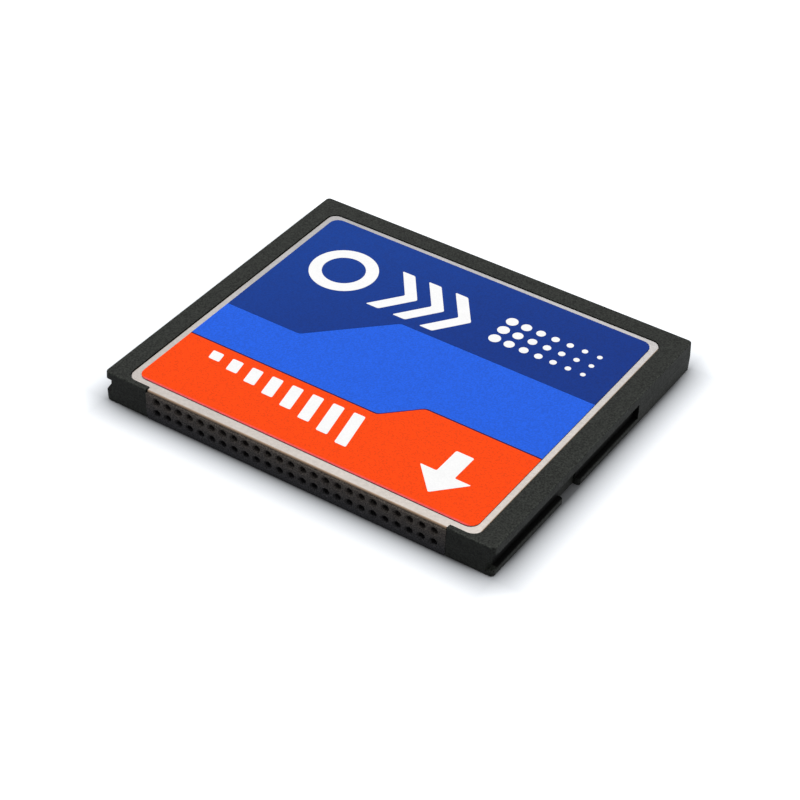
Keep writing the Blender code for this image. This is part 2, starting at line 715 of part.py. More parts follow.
def build_board(material):
    """Circuit board with two locating holes. Its small soldered parts are one body with it."""
    bottom = MID_Z - BOARD_THICKNESS / 2
    outline = rounded_rectangle(
        -BOARD_HALF_WIDTH, BOARD_FRONT_Y, BOARD_HALF_WIDTH, BOARD_BACK_Y, BOARD_CORNER_RADIUS, 3
    )
    bm = prism(bmesh.new(), outline, bottom, BOARD_TOP)
    board = add_node("circuit_board", to_mesh("circuit_board", bm), material)

    bm = bmesh.new()
    for side in (-1, 1):
        hole = circle((side * PEG_X, PEG_Y), PEG_DIAMETER / 2 + POCKET_GAP, ROUND_SIDES)
        prism(bm, hole, bottom - CUT_MARGIN, BOARD_TOP + CUT_MARGIN)
    add_tool(board, "peg_holes", bm)

    bm = bmesh.new()
    for x, y, (length, width, height) in soldered_parts():
        box(bm, (x - length / 2, y - width / 2, MID_Z), (x + length / 2, y + width / 2, BOARD_TOP + height))
    add_tool(board, "soldered_parts", bm, "UNION")
    return board


def lead_profile(middle, foot):
    """Side outline of a gull-wing lead: (distance out from the body, height)."""
    half = LEAD_SHEET / 2
    knee = LEAD_REACH / 4
    heel = LEAD_REACH / 2
    return [
        (-LEAD_SHEET, middle - half),
        (knee, middle - half),
        (heel, foot),
        (LEAD_REACH, foot),
        (LEAD_REACH, foot + LEAD_SHEET),
        (heel + half, foot + LEAD_SHEET),
        (knee + half, middle + half),
        (-LEAD_SHEET, middle + half),
    ]


def build_memory_chip(material):
    """Flash memory: a drafted body with gull-wing leads along both short sides and a pin-one dimple."""
    bottom = CHIP_SEAT + CHIP_STANDOFF
    middle = (bottom + CHIP_TOP) / 2
    rings = []
    for z, inset in ((bottom, CHIP_DRAFT), (middle, 0.0), (CHIP_TOP, CHIP_DRAFT)):
        half_x, half_y = MEMORY_LENGTH / 2 - inset, MEMORY_WIDTH / 2 - inset
        outline = [(-half_x, -half_y), (half_x, -half_y), (half_x, half_y), (-half_x, half_y)]
        rings.append([(MEMORY_X + x, MEMORY_Y + y, z) for x, y in outline])
    chip = add_node("memory_chip", to_mesh("memory_chip", loft(bmesh.new(), rings)), material)

    profile = lead_profile(middle, CHIP_SEAT)
    first = MEMORY_Y - MEMORY_WIDTH / 2 + LEAD_END_MARGIN
    pitch = (MEMORY_WIDTH - 2 * LEAD_END_MARGIN) / (MEMORY_LEADS - 1)
    bm = bmesh.new()
    for side in (-1, 1):
        for i in range(MEMORY_LEADS):
            along = first + pitch * i
            rings = [
                [(MEMORY_X + side * (MEMORY_LENGTH / 2 + out), y, z) for out, z in profile]
                for y in (along - LEAD_WIDTH / 2, along + LEAD_WIDTH / 2)
            ]
            loft(bm, rings)
    add_tool(chip, "memory_leads", bm, "UNION")

    dimple = (MEMORY_X - MEMORY_LENGTH / 2 + DIMPLE_INSET, MEMORY_Y - MEMORY_WIDTH / 2 + DIMPLE_INSET)
    dimple_outline = circle(dimple, DIMPLE_DIAMETER / 2, ROUND_SIDES)
    bm = prism(bmesh.new(), dimple_outline, CHIP_TOP - DIMPLE_DEPTH, CHIP_TOP + CUT_MARGIN)
    add_tool(chip, "memory_dimple", bm)


def build_controller_chip(material):
    """Controller: a leadless package, a moulded cap on a thin laminate, one corner cut as the key."""
    laminate_top = CHIP_SEAT + CONTROLLER_LAMINATE

    def outline(inset):
        half = CONTROLLER_SIDE / 2 - inset
        x0, x1 = CONTROLLER_X - half, CONTROLLER_X + half
        y0, y1 = CONTROLLER_Y - half, CONTROLLER_Y + half
        key = CONTROLLER_KEY_CUT
        return [(x0, y0 + key), (x0 + key, y0), (x1, y0), (x1, y1), (x0, y1)]

    rows = [
        (CHIP_SEAT, 0.0),
        (laminate_top, 0.0),
        (laminate_top, CONTROLLER_RIM),
        (CHIP_TOP, CONTROLLER_RIM + CHIP_DRAFT),
    ]
    rings = [at_height(outline(inset), z) for z, inset in rows]
    add_node("controller_chip", to_mesh("controller_chip", loft(bmesh.new(), rings)), material)


def main():
    clear_scene()
    frame_plastic = make_material("frame_plastic", (56, 58, 52), 0.72)
    connector_plastic = make_material("connector_plastic", (70, 66, 61), 0.62)
    cover_steel = make_material("cover_steel", (216, 210, 201), 0.34, 1.0)
    contact_gold = make_material("contact_gold", (222, 184, 106), 0.28, 1.0)
    board_green = make_material("board_green", (24, 84, 52), 0.42)
    chip_epoxy = make_material("chip_epoxy", (34, 34, 36), 0.58)
    prints = {
        "orange": make_material("print_orange", (250, 82, 28), 0.45),
        "bright_blue": make_material("print_bright_blue", (45, 100, 232), 0.45),
        "dark_blue": make_material("print_dark_blue", (32, 60, 150), 0.45),
    }

    build_frame(frame_plastic)
    build_cover("top_cover", cover_steel, 1)
    build_cover("bottom_cover", cover_steel, -1)
    build_prints(prints)
    build_housing(connector_plastic)
    build_contacts(contact_gold)
    build_board(board_green)
    build_memory_chip(chip_epoxy)
    build_controller_chip(chip_epoxy)


main()
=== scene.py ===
"""The looks of a thin flash memory card with a printed steel cover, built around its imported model.

It gives every piece of the card its finish, lays the white ink marks on the print, and sets a plain studio.
Sizes are in metres: X runs along the connector edge, the connector faces -Y, and the card lies on Z = 0.
"""

import math

import bmesh
import bpy
from bpy.props import FloatProperty, FloatVectorProperty, IntProperty, PointerProperty
from bpy.types import Operator, Panel, PropertyGroup
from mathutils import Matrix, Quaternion, Vector


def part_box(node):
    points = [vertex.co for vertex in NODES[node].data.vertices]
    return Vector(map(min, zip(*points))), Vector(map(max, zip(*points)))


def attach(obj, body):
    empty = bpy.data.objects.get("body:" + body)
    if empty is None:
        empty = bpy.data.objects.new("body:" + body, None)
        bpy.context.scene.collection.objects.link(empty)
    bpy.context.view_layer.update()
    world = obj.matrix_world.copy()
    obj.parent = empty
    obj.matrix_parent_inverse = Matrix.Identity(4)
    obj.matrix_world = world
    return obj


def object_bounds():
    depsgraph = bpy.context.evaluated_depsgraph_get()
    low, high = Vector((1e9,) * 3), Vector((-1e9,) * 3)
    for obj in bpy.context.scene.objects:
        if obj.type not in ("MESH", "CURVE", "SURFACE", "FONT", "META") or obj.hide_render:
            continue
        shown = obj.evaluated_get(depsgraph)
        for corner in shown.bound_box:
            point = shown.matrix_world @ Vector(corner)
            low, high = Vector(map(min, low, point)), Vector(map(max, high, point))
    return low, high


bl_info = {
    "name": "Flash Card Looks",
    "version": (1, 0, 0),
    "blender": (4, 5, 0),
    "location": "3D View > Sidebar > Flash Card",
    "description": "Finishes, ink marks and studio of a thin flash memory card",
    "category": "Object",
}

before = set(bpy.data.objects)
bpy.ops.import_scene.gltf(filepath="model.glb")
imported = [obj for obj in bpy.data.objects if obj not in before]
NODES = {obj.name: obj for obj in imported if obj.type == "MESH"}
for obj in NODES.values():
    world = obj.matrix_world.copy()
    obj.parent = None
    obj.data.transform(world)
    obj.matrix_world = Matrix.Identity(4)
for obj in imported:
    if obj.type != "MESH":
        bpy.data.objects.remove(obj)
CAD_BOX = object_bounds()

MM = 0.001
BODY = "root"
WHITE_INK = "white_ink"

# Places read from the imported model
PRINT_FRONT_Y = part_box("print_orange_field")[0].y
PRINT_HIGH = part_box("print_dark_blue_field")[1]
COVER_LOW, COVER_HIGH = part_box("top_cover")
PARTING_Z = CAD_BOX[1].z / 2

# The guide slots in the frame's sides: their floors' distance from the middle, their height and back ends
SLOT_FLOOR_X = 20.83 * MM
SLOT_LOW_Z = 0.71 * MM
SLOT_HIGH_Z = 2.31 * MM
SLOT_BACK_Y = 7.58 * MM

# The stepped lines of the print: where each one's ramp starts, its level there, and how far it climbs
BAND_RAMP_X = 2.90 * MM
BAND_LOW_Y = -8.68 * MM
BAND_RISE = 3.20 * MM
STRIPE_RAMP_X = -10.00 * MM
STRIPE_LOW_Y = -2.88 * MM
STRIPE_RISE = 7.00 * MM
RAMP_SOFTNESS = 0.43 * MM

# The dark ground grows lighter from this line, where y is so much more than x, to its back left corner
GROUND_LIGHT_FROM = -6.0 * MM

# Soft borders between shades: how far past its place each one starts and ends
PARTING_BORDER = (0.0, 0.04 * MM)
SLOT_INNER_BORDER = (-0.05 * MM, 0.0)
SLOT_OUTER_BORDER = (0.0, 0.05 * MM)
SLOT_BACK_BORDER = (0.02 * MM, 0.10 * MM)
SLOT_MOUTH_BORDER = (-0.15 * MM, -0.03 * MM)
FRONT_BORDER = (0.03 * MM, 0.10 * MM)
EDGE_HIGHLIGHT_BORDER = (-0.25 * MM, -0.08 * MM)
PRINT_SIDE_BORDER = (-0.06 * MM, -0.03 * MM)
PRINT_LINE_BORDER = (0.20 * MM, 0.30 * MM)
DRAWN_SIDE_BORDER = (-0.12 * MM, -0.04 * MM)
DRAWN_FRONT_BORDER = (-0.16 * MM, -0.07 * MM)

# Levels of noise between which a speck, a stain or a trace's edge climbs from dark to light
SPECK = (0.30, 0.70)
STAIN = (0.25, 0.75)
TRACE_EDGE = (-0.2, 0.2)
FINE_DETAIL = 3.0

# Moulded plastic: the size of its mottle in grains, and the mottle's height against the grain's
MOTTLE_GRAINS = 6
MOTTLE_HEIGHT = 0.5

# The frame's moulding: its step at the parting line, in grain depths, and how much paler its lower half is
PARTING_STEP = 3.0
LOWER_HALF_GAIN = 0.12

# The socket: its grain against the frame's, in size and in depth, and where its lower colour, a painted
# shade, turns into its upper one, which holds a painted warm reflection
SOCKET_GRAIN_SIZE = 0.8
SOCKET_GRAIN_DEPTH = 0.5
SOCKET_SHADE_Z = (0.3 * MM, 3.0 * MM)

# How near the camera sees, in metres
CLIP_START = 0.01

# The floor lies this far under the card, and its far glow comes in between these distances from the card
FLOOR_GAP = 0.02 * MM
FAR_GLOW = (0.1, 0.8)

# The floor shows the room from this border inwards, under the covers
UNDER_BORDER = (-1.0 * MM, 0.0)

# Kinds of rays that see the floor and the room as white
WHITE_RAYS = ("Is Camera Ray", "Is Glossy Ray", "Is Transmission Ray")

# Where each mark starts on the print
ARROW_PLACE = (12.6 * MM, -13.2 * MM)
BARS_PLACE = (-14.4 * MM, -10.3 * MM)
RING_PLACE = (-12.5 * MM, 8.2 * MM)
CHEVRONS_PLACE = (-6.9 * MM, 8.2 * MM)
DOTS_PLACE = (5.6 * MM, 7.4 * MM)

# How deep an ink mark's underside sits in the print, so that the two never share a plane
MARK_SINK = 0.01 * MM
ROUND_STEPS = 4
RING_SIDES = 64
DOT_SIDES = 24

# Width and height of a triangle of radius 1
TRIANGLE_SIZE = (math.sqrt(3), 1.5)


def srgb(red, green, blue):
    """A screen colour, 0 to 255, as the linear colour that shaders take."""
    shares = [level / 255 for level in (red, green, blue)]
    return tuple(s / 12.92 if s <= 0.04045 else ((s + 0.055) / 1.055) ** 2.4 for s in shares)


class FlashCardPlastic(PropertyGroup):
    """Moulded plastics: the frame and the connector."""

    frame_colour: FloatVectorProperty(
        name="Frame", description="Colour of the moulded frame", default=srgb(36, 38, 35), subtype="COLOR"
    )
    # Painted shade: the colour inside the guide slots is darkened where little light reaches
    slot_shade: FloatProperty(
        name="Slot shade",
        description="Level of the colour inside the guide slots",
        default=0.04,
        subtype="FACTOR",
    )
    # Painted shade: the frame's front faces are painted darker, as they face away from the light
    front_shade: FloatProperty(
        name="Front shade",
        description="Level of the colour on the frame's front faces",
        default=0.68,
        subtype="FACTOR",
    )
    # Painted highlight: the frame's top edges are painted lighter, standing in for the light that their
    # rounding catches
    edge_highlight: FloatProperty(
        name="Edge highlight", description="How much lighter the frame's highlighted top edges are", default=1.2
    )
    frame_roughness: FloatProperty(
        name="Frame roughness", description="Roughness of the frame's grain", default=0.56, subtype="FACTOR"
    )
    # Painted light on the socket: its upper colour holds a painted warm reflection of the steel lip, and its
    # lower colour is a painted shade
    connector_colour: FloatVectorProperty(
        name="Connector",
        description="Colour of the socket's upper part",
        default=srgb(84, 78, 73),
        subtype="COLOR",
    )
    connector_shaded_colour: FloatVectorProperty(
        name="Connector, low",
        description="Colour of its lower part",
        default=srgb(50, 50, 53),
        subtype="COLOR",
    )
    connector_roughness: FloatProperty(
        name="Connector roughness",
        description="Roughness of the socket's moulding",
        default=0.50,
        subtype="FACTOR",
    )
    grain: FloatProperty(
        name="Grain",
        description="Size of the spark-eroded grain",
        default=0.16 * MM,
        unit="LENGTH",
        precision=5,
    )
    grain_depth: FloatProperty(
        name="Grain depth", description="Depth of the grain", default=0.012 * MM, unit="LENGTH", precision=5
    )


class FlashCardMetal(PropertyGroup):
    """Steel covers and gold-plated contacts."""

    steel_colour: FloatVectorProperty(
        name="Steel",
        description="Colour of the stainless covers",
        default=srgb(147, 145, 145),
        subtype="COLOR",
    )
    # Painted reflection: the steel's colour turns warmer towards the front right, standing in for the room it
    # reflects
    steel_warm_reflection: FloatVectorProperty(
        name="Steel, warm",
        description="Their warmer tone at the front right",
        default=srgb(146, 140, 135),
        subtype="COLOR",
    )
    warm_reflection_lean: FloatProperty(
        name="Warm lean",
        description="How fast the warm tone grows to the right, against to the front",
        default=0.4,
    )
    steel_roughness: FloatProperty(
        name="Steel roughness", description="Roughness of the rolled sheet", default=0.285, subtype="FACTOR"
    )
    # Painted shade and reflection: a brown tint along the top cover's bent edges, for the shade and
    # reflection in the bend
    bend_shade_tint: FloatVectorProperty(
        name="Edge tint",
        description="Tint along the top cover's drawn edge",
        default=srgb(109, 92, 77),
        subtype="COLOR",
    )
    roll_line: FloatProperty(
        name="Roll line",
        description="Width of a rolling line",
        default=0.045 * MM,
        unit="LENGTH",
        precision=5,
    )
    gold_colour: FloatVectorProperty(
        name="Gold",
        description="Colour of the contacts' plating",
        default=srgb(226, 184, 104),
        subtype="COLOR",
    )
    gold_roughness: FloatProperty(
        name="Gold roughness", description="Roughness of the plating", default=0.30, subtype="FACTOR"
    )


class FlashCardInside(PropertyGroup):
    """The circuit board and the chips."""

    mask_colour: FloatVectorProperty(
        name="Solder mask", description="Colour of the bare board", default=srgb(16, 70, 40), subtype="COLOR"
    )
    trace_colour: FloatVectorProperty(
        name="Traces", description="Colour over the copper traces", default=srgb(30, 100, 58), subtype="COLOR"
    )
    trace_pitch: FloatProperty(
        name="Trace pitch",
        description="Distance between two traces",
        default=0.80 * MM,
        unit="LENGTH",
        precision=5,
    )
    mask_roughness: FloatProperty(
        name="Mask roughness", description="Roughness of the solder mask", default=0.375, subtype="FACTOR"
    )
    chip_colour: FloatVectorProperty(
        name="Chips", description="Colour of the chips' epoxy", default=srgb(34, 34, 36), subtype="COLOR"
    )
    chip_roughness: FloatProperty(
        name="Chip roughness", description="Roughness of the epoxy", default=0.55, subtype="FACTOR"
    )


class FlashCardInk(PropertyGroup):
    """Printing inks of the top cover."""

    orange: FloatVectorProperty(
        name="Orange",
        description="Colour of the band at the connector",
        default=srgb(253, 71, 2),
        subtype="COLOR",
    )
    bright_blue: FloatVectorProperty(
        name="Bright blue", description="Colour of the stripe", default=srgb(33, 95, 223), subtype="COLOR"
    )
    dark_blue: FloatVectorProperty(
        name="Dark blue", description="Colour of the ground", default=srgb(6, 48, 130), subtype="COLOR"
    )
    light_ground: FloatVectorProperty(
        name="Lighter ground",
        description="Ground towards the back left",
        default=srgb(10, 58, 144),
        subtype="COLOR",
    )
    white: FloatVectorProperty(
        name="White", description="Colour of the marks", default=srgb(250, 250, 250), subtype="COLOR"
    )
    overprint: FloatVectorProperty(
        name="Overprint",
        description="Colour where two inks overlap",
        default=srgb(48, 22, 52),
        subtype="COLOR",
    )
    edge_red: FloatVectorProperty(
        name="Edge red",
        description="Colour of the orange's front edge",
        default=srgb(232, 92, 98),
        subtype="COLOR",
    )
    edge_width: FloatProperty(
        name="Edge width", description="Width of that edge", default=0.30 * MM, unit="LENGTH", precision=5
    )
    overprint_width: FloatProperty(
        name="Overprint width",
        description="Overlap on each ink",
        default=0.06 * MM,
        unit="LENGTH",
        precision=5,
    )
    speckle: FloatProperty(
        name="Speckle",
        description="Size of the inks' fine speckle",
        default=0.16 * MM,
        unit="LENGTH",
        precision=5,
    )
    roughness: FloatProperty(
        name="Ink roughness", description="Roughness of the dried inks", default=0.45, subtype="FACTOR"
    )


class FlashCardMarks(PropertyGroup):
    """White ink marks on the print."""

    ink: FloatProperty(
        name="Ink", description="Thickness of the white ink", default=0.015 * MM, unit="LENGTH", precision=5
    )
    corner: FloatProperty(
        name="Corner",
        description="Rounding of the marks' corners",
        default=0.16 * MM,
        unit="LENGTH",
        precision=5,
    )
    arrow_width: FloatProperty(
        name="Arrow width",
        description="Width of the arrow's head",
        default=5.40 * MM,
        unit="LENGTH",
        precision=5,
    )
    arrow_head: FloatProperty(
        name="Arrow head",
        description="Length of the arrow's head",
        default=2.90 * MM,
        unit="LENGTH",
        precision=5,
    )
    arrow_stem: FloatProperty(
        name="Arrow stem",
        description="Width of the arrow's stem",
        default=1.90 * MM,
        unit="LENGTH",
        precision=5,
    )
    arrow_tail: FloatProperty(
        name="Arrow tail",
        description="Length of the arrow's stem",
        default=3.30 * MM,
        unit="LENGTH",
        precision=5,
    )
    bar_count: IntProperty(name="Bars", description="Number of rising bars", default=8, min=1, max=12)
    bar_width: FloatProperty(
        name="Bar width", description="Width of one bar", default=1.25 * MM, unit="LENGTH", precision=5
    )
    bar_pitch: FloatProperty(
        name="Bar pitch",
        description="Distance between two bars",
        default=2.30 * MM,
        unit="LENGTH",
        precision=5,
    )
    bar_least: FloatProperty(
        name="Least bar",
        description="Height of the lowest bar",
        default=1.20 * MM,
        unit="LENGTH",
        precision=5,
    )
    bar_rise: FloatProperty(
        name="Bar rise",
        description="Height that each bar adds",
        default=0.48 * MM,
        unit="LENGTH",
        precision=5,
    )
    bar_lean: FloatProperty(
        name="Bar lean", description="How far a bar leans over for its height", default=0.20, subtype="FACTOR"
    )
    ring_radius: FloatProperty(
        name="Ring radius",
        description="Outer radius of the ring",
        default=3.50 * MM,
        unit="LENGTH",
        precision=5,
    )
    ring_stroke: FloatProperty(
        name="Ring stroke",
        description="Width of the ring's line",
        default=1.30 * MM,
        unit="LENGTH",
        precision=5,
    )
    chevron_count: IntProperty(name="Chevrons", description="Number of chevrons", default=3, min=1, max=6)
    chevron_height: FloatProperty(
        name="Chevron height",
        description="Height of a chevron",
        default=6.60 * MM,
        unit="LENGTH",
        precision=5,
    )
    chevron_stroke: FloatProperty(
        name="Chevron stroke",
        description="Width of a chevron's line",
        default=1.45 * MM,
        unit="LENGTH",
        precision=5,
    )
    chevron_point: FloatProperty(
        name="Chevron point",
        description="Reach of a chevron's point",
        default=2.40 * MM,
        unit="LENGTH",
        precision=5,
    )
    chevron_pitch: FloatProperty(
        name="Chevron pitch",
        description="Distance between two chevrons",
        default=3.10 * MM,
        unit="LENGTH",
        precision=5,
    )
    dot_columns: IntProperty(
        name="Dot columns",
        description="Columns of the fading dots",
        default=7,
        min=1,
        max=16,
    )
    dot_rows: IntProperty(name="Dot rows", description="Rows of the fading dots", default=3, min=1, max=6)
    dot_radius: FloatProperty(
        name="Dot radius",
        description="Radius of the largest dots",
        default=0.62 * MM,
        unit="LENGTH",
        precision=5,
    )
    dot_pitch: FloatProperty(
        name="Dot pitch",
        description="Distance between two dots",
        default=1.62 * MM,
        unit="LENGTH",
        precision=5,
    )
    dot_fade: FloatProperty(
        name="Dot fade", description="Size of each column against the last", default=0.87, subtype="FACTOR"
    )


class FlashCardStudio(PropertyGroup):
    """Camera, lamps and floor."""

    camera_place: FloatVectorProperty(
        name="Camera",
        description="Where the camera stands",
        default=(89.051 * MM, -141.097 * MM, 130.617 * MM),
        subtype="TRANSLATION",
        unit="LENGTH",
    )
    azimuth: FloatProperty(
        name="Azimuth", description="Turn of the view", default=math.radians(32.3097), unit="ROTATION"
    )
    elevation: FloatProperty(
        name="Elevation", description="Height of the view", default=math.radians(38.4886), unit="ROTATION"
    )
    roll: FloatProperty(
        name="Roll", description="Turn of the picture", default=math.radians(2.0333), unit="ROTATION"
    )
    lens: FloatProperty(
        name="Lens", description="Focal length on a 36 mm sensor, in millimetres", default=99.922
    )
    lamp_place: FloatVectorProperty(
        name="Lamp",
        description="Where the overhead lamp hangs",
        default=(-0.09, 0.09, 0.62),
        subtype="TRANSLATION",
        unit="LENGTH",
    )
    lamp_side: FloatProperty(
        name="Lamp side",
        description="Side of the square lamp",
        default=1.10,
        unit="LENGTH",
    )
    lamp_power: FloatProperty(name="Lamp power", description="Power of the lamp", default=7.1, unit="POWER")
    fill: FloatProperty(name="Fill", description="Level of the even light from all round", default=0.12)
    floor_side: FloatProperty(name="Floor side", description="Side of the floor", default=6.0, unit="LENGTH")
    floor_white: FloatVectorProperty(
        name="Floor",
        description="Colour of the floor in the picture",
        default=(0.80, 0.825, 0.86),
        subtype="COLOR",
    )
    floor_bounce: FloatVectorProperty(
        name="Floor bounce",
        description="Colour of the light that it throws back",
        default=(0.24, 0.25, 0.28),
        subtype="COLOR",
    )
    floor_glow: FloatProperty(
        name="Floor glow",
        description="White that the floor gains far from the card",
        default=0.5,
    )
    floor_sheen: FloatProperty(
        name="Floor sheen",
        description="White that the floor gains in reflections beside the card",
        default=0.28,
    )
    floor_clear: FloatProperty(
        name="Floor clearing",
        description="Distance over which it turns white",
        default=6 * MM,
        unit="LENGTH",
        precision=5,
    )
    contact_shade: FloatProperty(
        name="Contact shade", description="How much darker the floor is where the card meets it", default=0.72
    )
    contact_reach: FloatProperty(
        name="Contact reach",
        description="Distance over which that fades",
        default=0.46 * MM,
        unit="LENGTH",
        precision=5,
    )
    corner_clear: FloatProperty(
        name="Corner clearing",
        description="How much of that shade is gone at the card's corners",
        default=0.6,
    )
    corner_reach: FloatProperty(
        name="Corner reach",
        description="Distance from a corner over which it comes back",
        default=4 * MM,
        unit="LENGTH",
        precision=5,
    )


class Socket:
    """A shader socket that takes part in Python sums. Each sum adds its Math node."""

    def __init__(self, graph, output):
        self.graph = graph
        self.output = output

    def maths(self, operation, *values):
        return self.graph.node("ShaderNodeMath", {"operation": operation}, dict(enumerate(values)))

    def __add__(self, other):
        return self.maths("ADD", self, other)

    def __radd__(self, other):
        return self.maths("ADD", other, self)

    def __sub__(self, other):
        return self.maths("SUBTRACT", self, other)

    def __rsub__(self, other):
        return self.maths("SUBTRACT", other, self)

    def __mul__(self, other):
        return self.maths("MULTIPLY", self, other)

    def __rmul__(self, other):
        return self.maths("MULTIPLY", other, self)

    def __abs__(self):
        return self.maths("ABSOLUTE", self)

    def least(self, other, softness=0.0):
        """The smaller of two numbers, rounded over where they are closer than the softness."""
        return self.maths("SMOOTH_MIN", self, other, softness)

    def most(self, other, softness=0.0):
        """The larger of two numbers, rounded over in the same way."""
        return self.maths("SMOOTH_MAX", self, other, softness)

    def wave(self):
        return self.maths("SINE", self)

    def fade(self, reach):
        """1 at nought, and less by the same share over each further reach."""
        return self.maths("EXPONENT", self * (-1 / reach))

    def climb(self, low, high):
        """0 up to low, 1 from high on, and a smooth climb between them."""
        settings = {"interpolation_type": "SMOOTHSTEP"}
        inputs = {"Value": self, "From Min": low, "From Max": high}
        return self.graph.node("ShaderNodeMapRange", settings, inputs)

    def past(self, place, border):
        """0 before a place and 1 past it. The border gives how far from it the climb starts and ends."""
        start, end = border
        return self.climb(place + start, place + end)

    def about(self, middle, spread):
        """Turns noise, which runs from 0 to 1, into a number that varies about a middle."""
        return self * spread + (middle - spread / 2)


class Graph:
    """A node tree under construction."""

    def __init__(self, tree):
        self.tree = tree

    def node(self, kind, settings=None, inputs=None, output=0):
        """Adds a node, first its settings, then the value or link of each input. Returns one output."""
        made = self.tree.nodes.new(kind)
        for key, value in (settings or {}).items():
            setattr(made, key, value)
        for key, value in (inputs or {}).items():
            self.feed(made.inputs[key], value)
        return Socket(self, made.outputs[output])

    def feed(self, target, value):
        """Links a socket to an input, or sets the input's own value."""
        if isinstance(value, Socket):
            self.tree.links.new(value.output, target)
        elif target.type == "RGBA" and len(value) == 3:
            target.default_value = (*value, 1.0)
        else:
            target.default_value = value

    def seen_directly(self, *kinds):
        """1 for rays of the named kinds, such as those from the camera, and 0 for all others."""
        path = self.node("ShaderNodeLightPath")
        masks = [Socket(self, path.output.node.outputs[kind]) for kind in kinds]
        total = masks[0]
        for mask in masks[1:]:
            total = total.most(mask)
        return total


class Paint(Graph):
    """A new material: its shader and the nodes that feed it."""

    def __init__(self, name, **constants):
        self.material = bpy.data.materials.new(name)
        self.material.use_nodes = True
        super().__init__(self.material.node_tree)
        self.shader = self.tree.nodes["Principled BSDF"]
        self.set(**constants)
        self.place = self.node("ShaderNodeTexCoord", output="Object")

    def set(self, **inputs):
        """Feeds the shader's own sockets."""
        for key, value in inputs.items():
            self.feed(self.shader.inputs[key.replace("_", " ")], value)

    def axes(self):
        """The place on the object as three numbers."""
        split = self.node("ShaderNodeSeparateXYZ", inputs={0: self.place}).output.node
        return [Socket(self, output) for output in split.outputs]

    def noise(self, spacing, detail=2.0, stretch=(1.0, 1.0, 1.0)):
        """Noise with about one bump for each spacing, in metres, drawn out along an axis by its stretch."""
        scale = [1 / (spacing * factor) for factor in stretch]
        place = self.node("ShaderNodeMapping", inputs={"Vector": self.place, "Scale": scale})
        return self.node("ShaderNodeTexNoise", inputs={"Vector": place, "Scale": 1.0, "Detail": detail})

    def mix(self, second_share, first, second):
        """Two colours mixed."""
        inputs = {0: second_share, 6: first, 7: second}
        return self.node("ShaderNodeMix", {"data_type": "RGBA"}, inputs, output=2)

    def shaded(self, colour, level):
        """A colour made lighter or darker by a number that varies about 1."""
        grey = self.node("ShaderNodeCombineColor", inputs={0: level, 1: level, 2: level})
        settings = {"data_type": "RGBA", "blend_type": "MULTIPLY"}
        return self.node("ShaderNodeMix", settings, {0: 1.0, 6: colour, 7: grey}, output=2)

    def bump(self, height, distance):
        return self.node("ShaderNodeBump", inputs={"Height": height, "Distance": distance})


def dress(material, *names):
    """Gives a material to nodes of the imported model, in their own material slots."""
    for name in names:
        slots = NODES[name].material_slots
        if not slots:
            raise RuntimeError(f"{name} has no material slot")
        for slot in slots:
            slot.material = material


class Plastic(Paint):
    """Grained moulded plastic: fine pits, a soft mottle and an uneven sheen."""

    def __init__(self, name, grain):
        super().__init__(name, Specular_IOR_Level=0.08)
        fine = self.noise(grain, detail=FINE_DETAIL)
        self.mottle = self.noise(grain * MOTTLE_GRAINS)
        self.height = fine + self.mottle * MOTTLE_HEIGHT
        self.level = fine.climb(*SPECK).about(1.0, spread=1.40) + self.mottle.about(0.0, spread=0.14)

    def moulded(self, colour, roughness, depth):
        """Feeds the shader its colour, sheen and grain, and returns the material."""
        self.set(
            Base_Color=self.shaded(colour, self.level),
            Roughness=self.mottle.about(roughness, spread=0.20),
            Normal=self.bump(self.height, depth),
        )
        return self.material


def shade_frame(black, plastic):
    """Shades the frame by its form: two halves, painted shade in the slots and on the front faces, and a
    painted highlight on the top edges.
    """
    x, y, z = black.axes()
    low, high = CAD_BOX
    upper_half = z.past(PARTING_Z, PARTING_BORDER)
    # Painted shade inside the guide slots
    in_slot = (
        abs(x).past(SLOT_FLOOR_X, SLOT_INNER_BORDER)
        * (1.0 - abs(x).past(high.x, SLOT_MOUTH_BORDER))
        * z.past(SLOT_LOW_Z, SLOT_INNER_BORDER)
        * (1.0 - z.past(SLOT_HIGH_Z, SLOT_OUTER_BORDER))
        * (1.0 - y.past(SLOT_BACK_Y, SLOT_BACK_BORDER))
    )
    # Painted shade on the front faces
    behind = y.past(low.y, FRONT_BORDER)
    # Painted highlight along the frame's top edges
    top_edge = (abs(x) - high.x).most(abs(y) - high.y) + z - high.z
    black.height = black.height + upper_half * PARTING_STEP
    black.level = (
        black.level
        * (1.0 + (1.0 - upper_half) * LOWER_HALF_GAIN)
        * (1.0 - in_slot * (1.0 - plastic.slot_shade))
        * (plastic.front_shade + behind * (1.0 - plastic.front_shade))
        * (1.0 + top_edge.past(0.0, EDGE_HIGHLIGHT_BORDER) * plastic.edge_highlight)
    )


